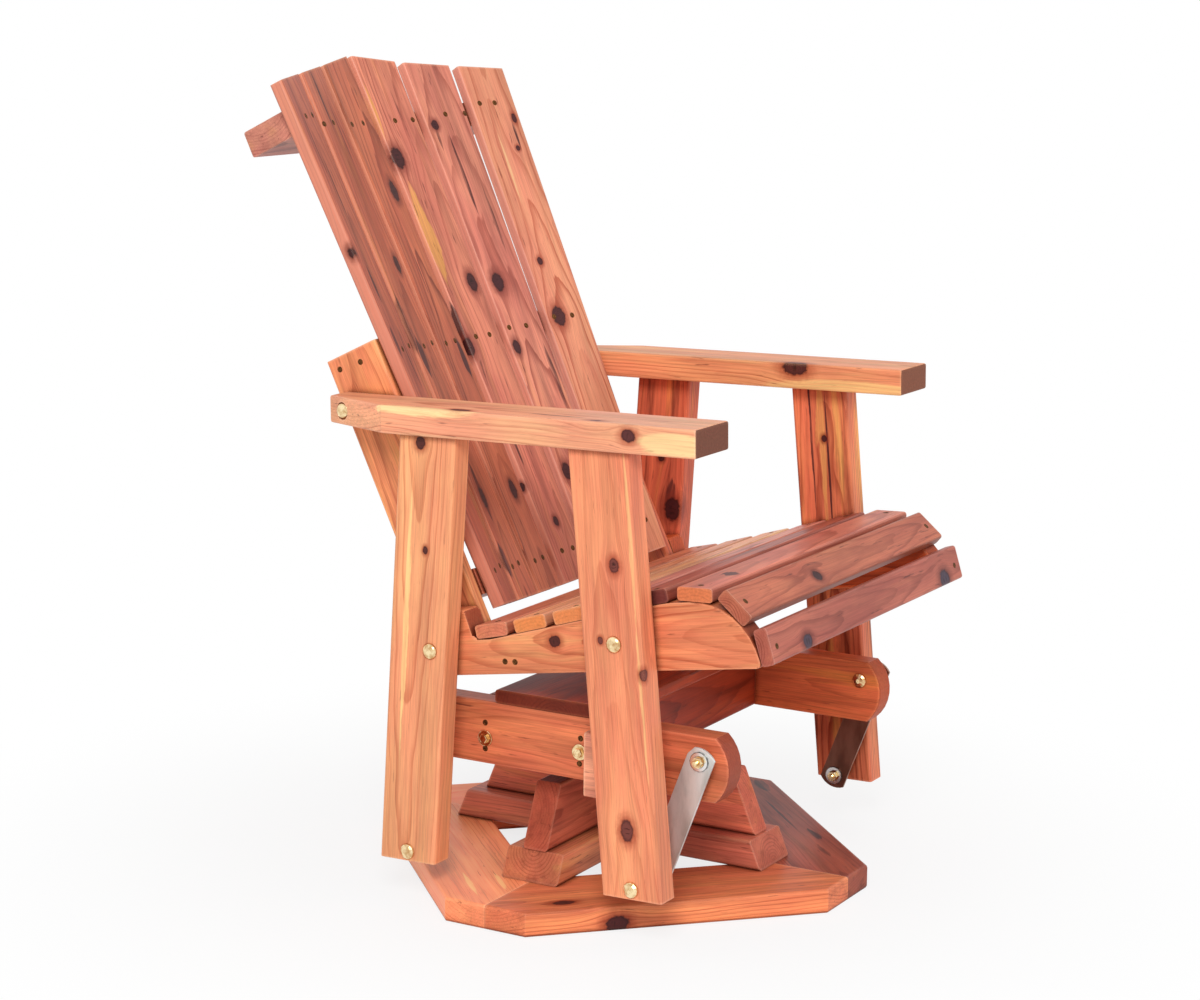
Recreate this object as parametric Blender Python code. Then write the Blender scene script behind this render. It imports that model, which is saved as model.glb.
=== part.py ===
"""Porch swivel glider: a slatted seat hung on four steel links from a turning
frame.  Metres, +Z up.  The sitter faces -Y.  The origin lies on the floor, below
the middle of the whole chair; the turning axis stands a little in front of it."""

from math import asin, atan2, ceil, cos, pi, radians, sin, sqrt, tan

import bmesh
import bpy
from mathutils import Vector

for old in list(bpy.data.objects):
    bpy.data.objects.remove(old, do_unlink=True)

# Sawn boards: every frame piece is one of these four stock sizes
STUD_T = 0.038
STUD_W = 0.089
PLANK_W = 0.140
SLAT_T = 0.019
DECK_W = 0.184
EASE = 0.004          # rounding along a board's long edges
SAWN_EASE = 0.0028    # sanding round a sawn outline
GAP = 0.0003          # play between two pieces that touch
SLACK = GAP / 2       # each piece is drawn this much small on every side
OVERRUN = 0.012       # how far a cutter runs past the wood

# Where the turning axis stands, fore and aft of the origin
SWIVEL_Y = -0.0455

# Base: a mitred ring of four planks, two crossed feet and two crossed boards
RING_REACH = 0.3035   # ring centre to a plank's outer edge
RING_CORNER = 0.0897  # corner sawn off, measured along each side
RING_T = 0.0345
FOOT_T = 0.0415
FOOT_INSET = 0.0519    # a foot's end in from the ring's edge
FOOT_HALF = RING_REACH - FOOT_INSET
FOOT_Z = RING_T
POST_Z = RING_T + FOOT_T
POST_INSET_X = 0.0146  # a pedestal board's end in from the foot's
POST_INSET_Y = 0.0281
POST_HALF_X = FOOT_HALF - POST_INSET_X
POST_HALF_Y = FOOT_HALF - POST_INSET_Y
POST_SHIFT_Y = -0.0055
END_SLANT = radians(22.5)

# Swivel: two square plates, a ball race between them
SWIVEL_Z = POST_Z + STUD_W
SWIVEL_H = 0.029
PLATE_HALF = 0.0975
PLATE_T = 0.003
RACE_OUT = 0.0635
RACE_IN = 0.0475
RACE_T = 0.0032
RACE_RISE = 0.0180
LIP_REACH = 0.0030
LIP_T = 0.0012
BALL_R = 0.0042
BALL_Z = 0.1785
BALL_SIDES = 10

# Widths: half the length of a seat slat sets every other one
SEAT_HALF = 0.3050
SLAT_INSET = 0.0016   # a seat slat's end in from the rail's outer face
LINK_ROOM = 0.0504    # between the seat rail's and the turning frame's outer faces
LINK_CLEAR = 0.0173   # between a glider rail and its link
SEAT_OUT = SEAT_HALF + SLAT_INSET
LEG_OUT = SEAT_OUT + STUD_T
BACK_OUT = SEAT_OUT - STUD_T
ARM_IN = BACK_OUT
RAIL_OUT = SEAT_OUT - LINK_ROOM
LINK_IN = RAIL_OUT + LINK_CLEAR

# Turning frame
FRAME_Z = SWIVEL_Z + SWIVEL_H
RAIL_MID_Y = -0.0500
RAIL_HALF = 0.2580
RAIL_END_R = 0.0590
STRETCHER_FRONT_Y = -0.0870
STRETCHER_REAR_Y = 0.0687
DECK_MID_Y = -0.0390
STOP_MID_Y = -0.1480
STOP_LEN = 0.0760
STOP_DROP = 0.0090

# Glide links: the four-bar hangs a little behind its middle, which tips the seat
UPPER_HALF = 0.2249   # half the distance between the upper pivots
UPPER_Z = 0.2548
LOWER_HALF = 0.1756
LINK_SPAN = 0.1781
LINK_LEAN = radians(20.5)  # front links, foot rearward of plumb
LINK_W = 0.040
LINK_T = 0.0040
LINK_END = 0.0105
LINK_ARCH_R = 0.0300
LINK_CUT = 0.0085

# Seat frame, in its own tipped frame
SPLAY = radians(4.5)
LEG_FOOT = -0.0135
ARM_Z = 0.5796
ARM_FRONT = -0.2805
ARM_REAR = 0.3114
ARM_TAPER = 0.1940
SEAT_SLOPE = radians(7.73)
SEAT_HEEL_Y = 0.1816
SEAT_HEEL_Z = 0.2369
SEAT_SLAT_W = 0.0510
SEAT_SLAT_FIRST = 0.1068
SEAT_SLAT_PITCH = 0.0630
SEAT_SLATS = 6
LIP_SLAT_DIP = radians(48.9)
LIP_SLAT_T = 0.5070
LIP_SLAT_H = 0.0816
APRON_DIP = radians(81.5)
APRON_MID_H = 0.0258
APRON_W = 0.0490
BRACE_MID = 0.1566
# Side outline of a seat rail from the heel: forward, up and corner radius
SEAT_TOE_T = 0.5335
SEAT_TOE_R = 0.006
SEAT_NOSE_T = 0.5203
SEAT_NOSE_R = 0.092
SEAT_CREST_T = 0.405
SEAT_CREST_R = 0.150
SEAT_DIP_T = 0.128
SEAT_DIP_H = 0.0485
SEAT_DIP_R = 0.080
SEAT_HOOK_T = 0.1025
SEAT_HOOK_R = 0.007
SEAT_HEEL_T = 0.0926
SEAT_HEEL_R = 0.006

# Back frame, in a frame that leans back from the seat's
LEAN = radians(24.5)
UPRIGHT_REAR = 0.0426  # an upright's rear edge behind the lean line
UPRIGHT_LOW = 0.2855
UPRIGHT_HIGH = 0.7395
SLAT_LOW = 0.3387
SLAT_HIGH = 1.1726
SLAT_SLOPE_SHARE = 0.208
# The back's slats from the middle out, low and high: how far each turns forward
WING_LOW = (radians(5.3), radians(11.9), radians(19.0))
WING_HIGH = (radians(9.3), radians(15.2), radians(16.7))
# Their widths, as shares of the back's half width
SLATS_LOW_SHARES = (0.2535, 0.2722, 0.2681)
SLATS_HIGH_SHARES = (0.328, 0.328, 0.328)
SLAT_GAP_LOW = 0.0112
SLAT_GAP_HIGH = 0.0157
MIDDLE_GAP = 0.0155
SPINE_LOW = 0.0062    # middle of the slats' rear faces, behind the lean line
SPINE_HIGH = 0.0174
TOP_RAIL_DROP = 0.1331  # the rail's underside below the tallest slat's top
TOP_RAIL_LOW = SLAT_HIGH - TOP_RAIL_DROP
TOP_RAIL_REAR = 0.0300
TOP_RAIL_PAST = 0.0014
TOP_RAIL_HALF = BACK_OUT + TOP_RAIL_PAST
MID_RAIL_LOW = UPRIGHT_HIGH - STUD_T
LOW_RAIL_RISE = 0.0228
LOW_RAIL_LOW = SLAT_LOW + LOW_RAIL_RISE

# Bolts, washers and nuts
BOLT_R = 0.0040
HOLE_R = 0.0045
OPEN_HOLE_R = 0.0078
DOME_R = 0.0112
DOME_H = 0.0050
NUT_R = 0.0075
NUT_T = 0.0066
WASHER_R = 0.0135
WASHER_T = 0.0020
SPACER_R = 0.0085
THREAD_END = 0.0050
ARM_BOLT_BACK = 0.0274  # the bolt's middle in from the arm's rear end
SPOT_R = 0.0122
SPOT_DEPTH = 0.0045

# Facets
ARC_STEP = radians(11.0)
EASE_STEPS = 3
SAWN_STEPS = 2
ROUND_SIDES = 12
FLAT_SHARE = cos(pi / 6)  # a hexagon's flats against its corners
RACE_SIDES = 24
WING_STEPS = 10

WOOD = (0.55, 0.27, 0.13)
WOOD_PALE = (0.66, 0.38, 0.20)
WOOD_DARK = (0.30, 0.13, 0.08)
ZINC = (0.72, 0.72, 0.70)
ZINC_GOLD = (0.62, 0.52, 0.28)
BLACK = (0.02, 0.02, 0.02)
BRONZE = (0.20, 0.16, 0.13)


def material(name, colour, rough, metal):
    mat = bpy.data.materials.new(name + "_mat")
    mat.use_nodes = True
    shader = mat.node_tree.nodes["Principled BSDF"]
    shader.inputs["Base Color"].default_value = (*colour, 1.0)
    shader.inputs["Roughness"].default_value = rough
    shader.inputs["Metallic"].default_value = metal
    return mat


def put(name, bm, colour, parent=None, metal=0.0, smooth=False, at=(0.0, 0.0, 0.0), turn=(0.0, 0.0, 0.0)):
    """Make an object of a bmesh, with its own material."""
    bmesh.ops.recalc_face_normals(bm, faces=bm.faces)
    mesh = bpy.data.meshes.new(name)
    bm.to_mesh(mesh)
    bm.free()
    obj = bpy.data.objects.new(name, mesh)
    bpy.context.scene.collection.objects.link(obj)
    obj.parent = parent
    obj.location = at
    obj.rotation_euler = turn
    mesh.materials.append(material(name, colour, 0.35 if metal else 0.65, metal))
    if smooth:
        mesh.shade_smooth()
        mesh.set_sharp_from_angle(angle=radians(35))
    return obj


def guide(name, parent=None, at=(0.0, 0.0, 0.0), tip=0.0):
    """An empty that carries the pieces of one frame; tip turns it about X."""
    empty = bpy.data.objects.new(name, None)
    bpy.context.scene.collection.objects.link(empty)
    empty.parent = parent
    empty.location = at
    empty.rotation_euler = (tip, 0.0, 0.0)
    return empty


def cut(obj, bm, name, own=False):
    """Saw or drill with a cutter drawn in the parent's frame, or the piece's own."""
    bmesh.ops.recalc_face_normals(bm, faces=bm.faces)
    mesh = bpy.data.meshes.new(name)
    bm.to_mesh(mesh)
    bm.free()
    cutter = bpy.data.objects.new(name, mesh)
    bpy.context.scene.collection.objects.link(cutter)
    cutter.parent = obj.parent
    if own:
        cutter.location = obj.location
        cutter.rotation_euler = obj.rotation_euler
    cutter.hide_render = True
    cutter.display_type = "WIRE"
    boolean = obj.modifiers.new(name, "BOOLEAN")
    boolean.operation = "DIFFERENCE"
    boolean.solver = "EXACT"
    boolean.object = cutter


def block(bm, low, high):
    corners = []
    for x in (low[0], high[0]):
        for y in (low[1], high[1]):
            for z in (low[2], high[2]):
                corners.append(bm.verts.new((x, y, z)))
    for a, b, c, d in ((0, 1, 3, 2), (4, 6, 7, 5), (0, 4, 5, 1), (2, 3, 7, 6), (0, 2, 6, 4), (1, 5, 7, 3)):
        bm.faces.new((corners[a], corners[b], corners[c], corners[d]))


def loft(bm, rings, closed=False):
    """Skin a list of equal rings of points and cap both ends."""
    rows = [[bm.verts.new(point) for point in ring] for ring in rings]
    count = len(rows[0])
    pairs = list(zip(rows, rows[1:]))
    if closed:
        pairs.append((rows[-1], rows[0]))
    for low, high in pairs:
        for i in range(count):
            j = (i + 1) % count
            bm.faces.new((low[i], low[j], high[j], high[i]))
    if not closed:
        bm.faces.new(rows[0])
        bm.faces.new(rows[-1])


def turned(bm, profile, centre):
    """Spin (along, radius) points about a line along X through the centre."""
    rings = []
    for along, radius in profile:
        ring = []
        for i in range(ROUND_SIDES):
            angle = 2 * pi * i / ROUND_SIDES
            ring.append(Vector(centre) + Vector((along, radius * cos(angle), radius * sin(angle))))
        rings.append(ring)
    loft(bm, rings)


def section(width, depth, ease=EASE, steps=EASE_STEPS):
    """Cross-section of a planed board: a rectangle with eased corners."""
    points = []
    for corner in range(4):
        a = (width / 2 - SLACK - ease) * (1, -1, -1, 1)[corner]
        b = (depth / 2 - SLACK - ease) * (1, 1, -1, -1)[corner]
        for i in range(steps + 1):
            angle = pi / 2 * (corner + i / steps)
            points.append((a + ease * cos(angle), b + ease * sin(angle)))
    return points


def order(axes, a, b, run):
    """Lay cross-section and length on the axes named, such as yzx."""
    place = dict(zip(axes, (a, b, run)))
    return Vector((place["x"], place["y"], place["z"]))


def stick(name, colour, axes, width, depth, low, high, parent=None, slant=(0.0, 0.0), tilt=0.0, **where):
    """A board along the last axis; its ends slant across the second or first."""
    bm = bmesh.new()
    outline = section(width, depth)
    rings = []
    for run, side, slack in ((low, 0, SLACK), (high, 1, -SLACK)):
        ring = []
        for a, b in outline:
            ring.append(order(axes, a, b, run + slack + slant[side] * b + tilt * a))
        rings.append(ring)
    loft(bm, rings)
    return put(name, bm, colour, parent, **where)


def inset(points, amount):
    """Move a closed outline inward by an amount, keeping its corners."""
    area = sum(p[0] * q[1] - q[0] * p[1] for p, q in zip(points, points[1:] + points[:1]))
    side = 1.0 if area > 0 else -1.0
    moved = []
    for i, here in enumerate(points):
        before, after = points[i - 1], points[(i + 1) % len(points)]
        d1 = (Vector(here) - Vector(before)).normalized()
        d2 = (Vector(after) - Vector(here)).normalized()
        n1 = Vector((-d1.y, d1.x)) * side
        n2 = Vector((-d2.y, d2.x)) * side
        lean = (n1 + n2).normalized()
        moved.append(tuple(Vector(here) + lean * (amount / lean.dot(n1))))
    return moved


def rounded(corners):
    """Outline with each (a, b, radius) corner turned into an arc."""
    points = []
    count = len(corners)
    for i in range(count):
        before = Vector(corners[i - 1][:2])
        here = Vector(corners[i][:2])
        after = Vector(corners[(i + 1) % count][:2])
        radius = corners[i][2]
        d1 = (before - here).normalized()
        d2 = (after - here).normalized()
        turn = pi - d1.angle(d2)
        if radius == 0.0:
            points.append(tuple(here))
            continue
        reach = radius * tan(turn / 2)
        middle = here + (d1 + d2).normalized() * (radius / cos(turn / 2))
        first = here + d1 * reach - middle
        last = here + d2 * reach - middle
        steps = max(2, ceil(turn / ARC_STEP))
        sweep = atan2(first.x * last.y - first.y * last.x, first.dot(last))
        for k in range(steps + 1):
            angle = sweep * k / steps
            x = first.x * cos(angle) - first.y * sin(angle)
            y = first.x * sin(angle) + first.y * cos(angle)
            points.append((middle.x + x, middle.y + y))
    return points


def sawn(name, colour, outline, axes, low, high, parent=None, square=(), ease=SAWN_EASE, **where):
    """A board sawn to an outline and sanded round it, but not on the square sides.
    The outline lies on the first two axes and the thickness on the third."""
    bm = bmesh.new()
    flat = inset(outline, SLACK)
    rings = []
    for run in (low + SLACK, high - SLACK):
        rings.append([order(axes, a, b, run) for a, b in flat])
    rows = [[bm.verts.new(point) for point in ring] for ring in rings]
    rims = []
    count = len(flat)
    for i in range(count):
        j = (i + 1) % count
        bm.faces.new((rows[0][i], rows[0][j], rows[1][j], rows[1][i]))
    for row in rows:
        bm.faces.new(row)
        for i in range(count):
            if i not in square:
                rims.append(bm.edges.get((row[i], row[(i + 1) % count])))
    bmesh.ops.bevel(bm, geom=rims, offset=ease, segments=SAWN_STEPS, profile=0.5, affect="EDGES", clamp_overlap=True)
    return put(name, bm, colour, parent, **where)


def drill(obj, name, points, low, high, radius=HOLE_R, own=False):
    """Bore holes along X, at (y, z) points."""
    bm = bmesh.new()
    for y, z in points:
        turned(bm, ((low, radius), (high, radius)), (0.0, y, z))
    cut(obj, bm, name, own)


# The ring on the floor
ring_guide = guide("ring_guide", at=(0.0, SWIVEL_Y, 0.0))
middle = RING_REACH - RING_CORNER / 2
inner = RING_REACH - PLANK_W
plank = [
    (-(RING_REACH - RING_CORNER), -RING_REACH),
    (RING_REACH - RING_CORNER, -RING_REACH),
    (middle, -middle),
    (inner, -inner),
    (-inner, -inner),
    (-middle, -middle),
]
for number in range(4):
    turn_z = pi / 4 + number * pi / 2
    sawn(f"ring_board_{number + 1}", WOOD, plank, "xyz", -SLACK, RING_T, ring_guide,
         square=(2, 4), ease=EASE, turn=(0.0, 0.0, turn_z))

# Feet and pedestal boards, halved across each other
def halved(name, axes, width, depth, half, z, shift, colour):
    run_slope = tan(END_SLANT)
    return stick(name, colour, axes, width, depth, shift - half, shift + half, ring_guide,
                 slant=(run_slope, -run_slope), at=(0.0, 0.0, z + depth / 2))


def halving(board, name, along_y, width, z_low, z_high):
    bm = bmesh.new()
    near = width / 2 + SLACK
    far = width / 2 + OVERRUN
    reach = (far, near) if along_y else (near, far)
    block(bm, (-reach[0], -reach[1], z_low), (reach[0], reach[1], z_high))
    cut(board, bm, name)


for level, width, depth, halves, shift, label, colour in (
        (FOOT_Z, STUD_W, FOOT_T, (FOOT_HALF, FOOT_HALF), 0.0, "foot", WOOD),
        (POST_Z, STUD_T, STUD_W, (POST_HALF_Y, POST_HALF_X), POST_SHIFT_Y, "pedestal", WOOD_DARK)):
    slope = tan(END_SLANT) * depth / 2
    mid = level + depth / 2
    fore_aft = halved(label + "_fore_aft", "xzy", width, depth, halves[0] - slope, level, shift, colour)
    halving(fore_aft, label + "_notch_1", True, width, mid - SLACK, level + depth + OVERRUN)
    across = halved(label + "_across", "yzx", width, depth, halves[1] - slope, level, 0.0, colour)
    halving(across, label + "_notch_2", False, width, level - OVERRUN, mid + SLACK)

# Swivel plates and their ball race
def plate(name, colour, metal, quarter, levels):
    """A square plate with a pressed race: (level, radius) steps, None at the square."""
    bm = bmesh.new()
    rings = []
    for level, radius in levels:
        ring = []
        for i in range(RACE_SIDES):
            angle = 2 * pi * i / RACE_SIDES
            reach = radius
            if radius is None:
                reach = PLATE_HALF / max(abs(cos(angle)), abs(sin(angle)))
            ring.append(Vector((reach * cos(angle + quarter), reach * sin(angle + quarter), level)))
        rings.append(ring)
    loft(bm, rings, closed=True)
    return put(name, bm, colour, swivel, metal=metal)


swivel = guide("swivel_axis", at=(0.0, SWIVEL_Y, 0.0))
seat_of_race = SWIVEL_Z + PLATE_T
rim = seat_of_race + RACE_RISE
wall = RACE_OUT - RACE_T
plate("swivel_lower_plate", BLACK, 0.6, pi / 4, (
    (SWIVEL_Z + SLACK, None), (seat_of_race, None), (seat_of_race, RACE_OUT), (rim, RACE_OUT),
    (rim, wall - LIP_REACH), (rim - LIP_T, wall - LIP_REACH), (rim - LIP_T, wall),
    (seat_of_race, wall), (seat_of_race, RACE_IN), (SWIVEL_Z + SLACK, RACE_IN)))
seat_of_race = FRAME_Z - PLATE_T
rim = seat_of_race - RACE_RISE
wall = RACE_IN + RACE_T
plate("swivel_upper_plate", BLACK, 0.6, 0.0, (
    (FRAME_Z - SLACK, None), (seat_of_race, None), (seat_of_race, wall), (rim + LIP_T, wall),
    (rim + LIP_T, wall + LIP_REACH), (rim, wall + LIP_REACH), (rim, RACE_IN),
    (FRAME_Z - SLACK, RACE_IN)))
track = (RACE_OUT + RACE_IN) / 2
rings = []
for i in range(BALL_SIDES):
    angle = 2 * pi * i / BALL_SIDES
    ring = []
    for k in range(RACE_SIDES):
        around = 2 * pi * k / RACE_SIDES
        reach = track + BALL_R * cos(angle)
        ring.append(Vector((reach * cos(around), reach * sin(around), BALL_Z + BALL_R * sin(angle))))
    rings.append(ring)
bm = bmesh.new()
loft(bm, rings, closed=True)
put("swivel_ball_ring", bm, ZINC, ring_guide, metal=1.0, smooth=True)

# Turning frame: two rails, two stretchers, a deck board and two stop blocks
frame_mid = FRAME_Z + STUD_W / 2
rail_in = RAIL_OUT - STUD_T
half_turn = asin(STUD_W / 2 / RAIL_END_R)
steps = ceil(2 * half_turn / ARC_STEP)
rail = []
for end in (1, -1):
    for i in range(steps + 1):
        angle = half_turn * (2 * i / steps - 1)
        middle_y = RAIL_MID_Y + end * (RAIL_HALF - RAIL_END_R)
        rail.append((middle_y + end * RAIL_END_R * cos(angle), frame_mid + end * RAIL_END_R * sin(angle)))
upper_pivots = ((RAIL_MID_Y - UPPER_HALF, UPPER_Z), (RAIL_MID_Y + UPPER_HALF, UPPER_Z))
stretchers = (STRETCHER_FRONT_Y, STRETCHER_REAR_Y)
SIDES = (("near", -1), ("far", 1))
for side, sign in SIDES:
    span = sorted((sign * rail_in, sign * RAIL_OUT))
    piece = sawn(f"glider_rail_{side}", WOOD_DARK, rail, "yzx", *span, swivel)
    reach = (span[0] - OVERRUN, span[1] + OVERRUN)
    drill(piece, f"rail_bores_{side}", upper_pivots, *reach)
    stick(f"stop_block_{side}", WOOD_PALE, "xzy", STUD_T, STUD_W, STOP_MID_Y - STOP_LEN / 2,
          STOP_MID_Y + STOP_LEN / 2, swivel, at=(sign * (RAIL_OUT + STUD_T / 2), 0.0, frame_mid - STOP_DROP))
for label, y in zip(("front", "rear"), stretchers):
    stick(f"stretcher_{label}", WOOD, "yzx", STUD_T, STUD_W, -rail_in, rail_in, swivel, at=(0.0, y, frame_mid))
stick("deck_board", WOOD_DARK, "yzx", DECK_W, SLAT_T, -RAIL_OUT, RAIL_OUT, swivel,
      at=(0.0, DECK_MID_Y, FRAME_Z + STUD_W + SLAT_T / 2))


def pivot(name, parent, sign, head_x, collar, tip_x, y, z):
    """Pivot bolt along X: round head, shank, spacer collar, then past the link a
    washer and a hexagonal nut.  tip_x is the link's face that the washer meets."""
    out = 1 if tip_x > head_x else -1
    nut = tip_x + out * WASHER_T
    end = nut + out * NUT_T
    profile = (
        (head_x - out * DOME_H, DOME_R * 0.30, 1.0),
        (head_x - out * DOME_H * 0.82, DOME_R * 0.66, 1.0),
        (head_x - out * DOME_H * 0.42, DOME_R * 0.93, 1.0),
        (head_x - out * SLACK, DOME_R, 1.0),
        (head_x - out * SLACK, BOLT_R, 1.0),
        (collar[0] + out * SLACK, BOLT_R, 1.0),
        (collar[0] + out * SLACK, SPACER_R, 1.0),
        (collar[1] - out * SLACK, SPACER_R, 1.0),
        (collar[1] - out * SLACK, BOLT_R, 1.0),
        (tip_x + out * SLACK, BOLT_R, 1.0),
        (tip_x + out * SLACK, WASHER_R, 1.0),
        (nut, WASHER_R, 1.0),
        (nut, NUT_R, FLAT_SHARE),
        (end, NUT_R, FLAT_SHARE),
        (end, BOLT_R, 1.0),
        (end + out * THREAD_END, BOLT_R * 0.85, 1.0))
    rings = []
    for along, radius, flat_share in profile:
        ring = []
        for i in range(ROUND_SIDES):
            angle = 2 * pi * i / ROUND_SIDES
            reach = radius * (flat_share if i % 2 else 1.0)
            ring.append(Vector((sign * along, y + reach * cos(angle), z + reach * sin(angle))))
        rings.append(ring)
    bm = bmesh.new()
    loft(bm, rings)
    return put(name, bm, ZINC_GOLD, parent, metal=1.0, smooth=True)


for end, (y, z) in zip(("front", "rear"), upper_pivots):
    for side, sign in SIDES:
        pivot(f"upper_pivot_{end}_{side}", swivel, sign, rail_in, (RAIL_OUT, LINK_IN), LINK_IN + LINK_T, y, z)

# The linkage: the front links set the front lower pivot; the rear one follows
front_foot = Vector(upper_pivots[0]) + LINK_SPAN * Vector((sin(LINK_LEAN), -cos(LINK_LEAN)))
across = Vector(upper_pivots[1]) - front_foot
width = across.length
along = (width * width + 4 * LOWER_HALF * LOWER_HALF - LINK_SPAN * LINK_SPAN) / (2 * width)
drop = sqrt(4 * LOWER_HALF * LOWER_HALF - along * along)
ahead = across / width
rear_foot = front_foot + ahead * along + Vector((ahead.y, -ahead.x)) * drop
seat_tip = atan2(rear_foot.y - front_foot.y, rear_foot.x - front_foot.x)
rear_lean = atan2(rear_foot.x - upper_pivots[1][0], upper_pivots[1][1] - rear_foot.y)


def link(name, colour, sign, pivot, lean, foot_hole):
    """Flat steel link, hung from its upper pivot, with arched ends and a cut corner."""
    half = LINK_W / 2
    rise = sqrt(LINK_ARCH_R * LINK_ARCH_R - half * half)
    spread = asin(half / LINK_ARCH_R)
    arch_steps = ceil(2 * spread / ARC_STEP)
    outline = []
    for end in (1, -1):
        base = LINK_END if end > 0 else -LINK_SPAN - LINK_END
        for i in range(arch_steps + 1):
            angle = spread * (1 - 2 * i / arch_steps) * end
            y = LINK_ARCH_R * sin(angle)
            z = base + end * (LINK_ARCH_R * cos(angle) - rise)
            if end > 0 and i == 0:
                outline.append((half, base - LINK_CUT))
                y = half - LINK_CUT * 0.7
                z = base + sqrt(LINK_ARCH_R * LINK_ARCH_R - y * y) - rise
            elif end > 0 and y > half - LINK_CUT * 0.7:
                continue
            outline.append((y, z))
    low, high = sorted((sign * LINK_IN, sign * (LINK_IN + LINK_T)))
    piece = sawn(name, colour, outline, "yzx", low, high, ease=LINK_T * 0.12, metal=1.0,
                 at=(0.0, SWIVEL_Y + pivot[0], pivot[1]), turn=(lean, 0.0, 0.0))
    drill(piece, name + "_head_bore", ((0.0, 0.0),), low - OVERRUN, high + OVERRUN, own=True)
    drill(piece, name + "_foot_bore", ((0.0, -LINK_SPAN),), low - OVERRUN, high + OVERRUN, foot_hole, own=True)


for side, sign in SIDES:
    tint = ZINC if side == "near" else BRONZE
    link(f"link_front_{side}", tint, sign, upper_pivots[0], LINK_LEAN, HOLE_R)
    link(f"link_rear_{side}", tint, sign, upper_pivots[1], rear_lean, OPEN_HOLE_R)

# Seat frame, carried on the front lower pivots
seat_hinge = guide("seat_hinge", at=(0.0, SWIVEL_Y + front_foot.x, front_foot.y), tip=seat_tip)
seat = guide("seat_frame", seat_hinge, at=(0.0, LOWER_HALF, 0.0))
for side, sign in SIDES:
    for end, way in (("front", -1), ("rear", 1)):
        tip = way * SPLAY
        piece = stick(f"leg_{end}_{side}", WOOD, "xyz", STUD_T, STUD_W, LEG_FOOT / cos(tip), ARM_Z / cos(tip),
                      seat, slant=(-tan(tip), -tan(tip)), turn=(tip, 0.0, 0.0),
                      at=(sign * (LEG_OUT - STUD_T / 2), way * LOWER_HALF, 0.0))
        low, high = sorted((sign * (SEAT_OUT - OVERRUN), sign * (LEG_OUT + OVERRUN)))
        drill(piece, f"leg_bore_{end}_{side}", ((way * LOWER_HALF, 0.0),), low, high)
        pivot(f"lower_pivot_{end}_{side}", seat, sign, LEG_OUT, (SEAT_OUT, LINK_IN + LINK_T), LINK_IN,
              way * LOWER_HALF, 0.0)

# Seat rails, sawn to the shape of the seat, under the slats
rail_frame = guide("seat_rail_frame", seat, at=(0.0, SEAT_HEEL_Y, SEAT_HEEL_Z), tip=-SEAT_SLOPE)
profile = rounded((
    (0.0, 0.0, 0.0), (SEAT_TOE_T, 0.0, SEAT_TOE_R), (SEAT_NOSE_T, STUD_W, SEAT_NOSE_R),
    (SEAT_CREST_T, STUD_W, SEAT_CREST_R), (SEAT_DIP_T, SEAT_DIP_H, SEAT_DIP_R),
    (SEAT_HOOK_T, SEAT_DIP_H, SEAT_HOOK_R), (SEAT_HEEL_T, STUD_W, SEAT_HEEL_R), (0.0, STUD_W, 0.0)))

for side, sign in SIDES:
    low, high = sorted((sign * BACK_OUT, sign * SEAT_OUT))
    sawn(f"seat_rail_{side}", WOOD, [(-t, h) for t, h in profile], "yzx", low, high, rail_frame)
stick("seat_brace", WOOD, "yzx", STUD_T, STUD_T, -BACK_OUT, BACK_OUT, rail_frame,
      at=(0.0, -BRACE_MID, STUD_T / 2))


def height(t):
    """Height of the rail's top edge at a distance forward of the heel."""
    best = 0.0
    for a, b in zip(profile, profile[1:]):
        if min(a[0], b[0]) <= t <= max(a[0], b[0]) and a[0] != b[0]:
            best = max(best, a[1] + (b[1] - a[1]) * (t - a[0]) / (b[0] - a[0]))
    return best


def seat_slat(name, width, slope, centre, reach):
    """Lay a slat on the rails at a slope, touching them somewhere within reach."""
    way = Vector((cos(slope), sin(slope)))
    up = Vector((-sin(slope), cos(slope)))
    rest = [Vector(p) for p in profile if reach[0] < p[0] < reach[1]]
    rest += [Vector((t, height(t))) for t in reach]
    lift = max(up.dot(p) for p in rest)
    middle = way * way.dot(Vector(centre)) + up * (lift + SLAT_T / 2)
    stick(name, WOOD, "yzx", width, SLAT_T, -SEAT_HALF, SEAT_HALF, rail_frame,
          at=(0.0, -middle.x, middle.y), turn=(-slope, 0.0, 0.0))


for number in range(SEAT_SLATS):
    first = SEAT_SLAT_FIRST + number * SEAT_SLAT_PITCH
    last = first + SEAT_SLAT_W
    slope = atan2(height(last) - height(first), SEAT_SLAT_W)
    centre = ((first + last) / 2, (height(first) + height(last)) / 2)
    seat_slat(f"seat_slat_{number + 1}", SEAT_SLAT_W, slope, centre, (first, last))
nose = SEAT_TOE_T
seat_slat("seat_slat_lip", SEAT_SLAT_W, -LIP_SLAT_DIP, (LIP_SLAT_T, LIP_SLAT_H), (LIP_SLAT_T - SEAT_SLAT_W, nose))
seat_slat("seat_slat_apron", APRON_W, -APRON_DIP, (nose, APRON_MID_H), (LIP_SLAT_T, nose))

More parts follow.
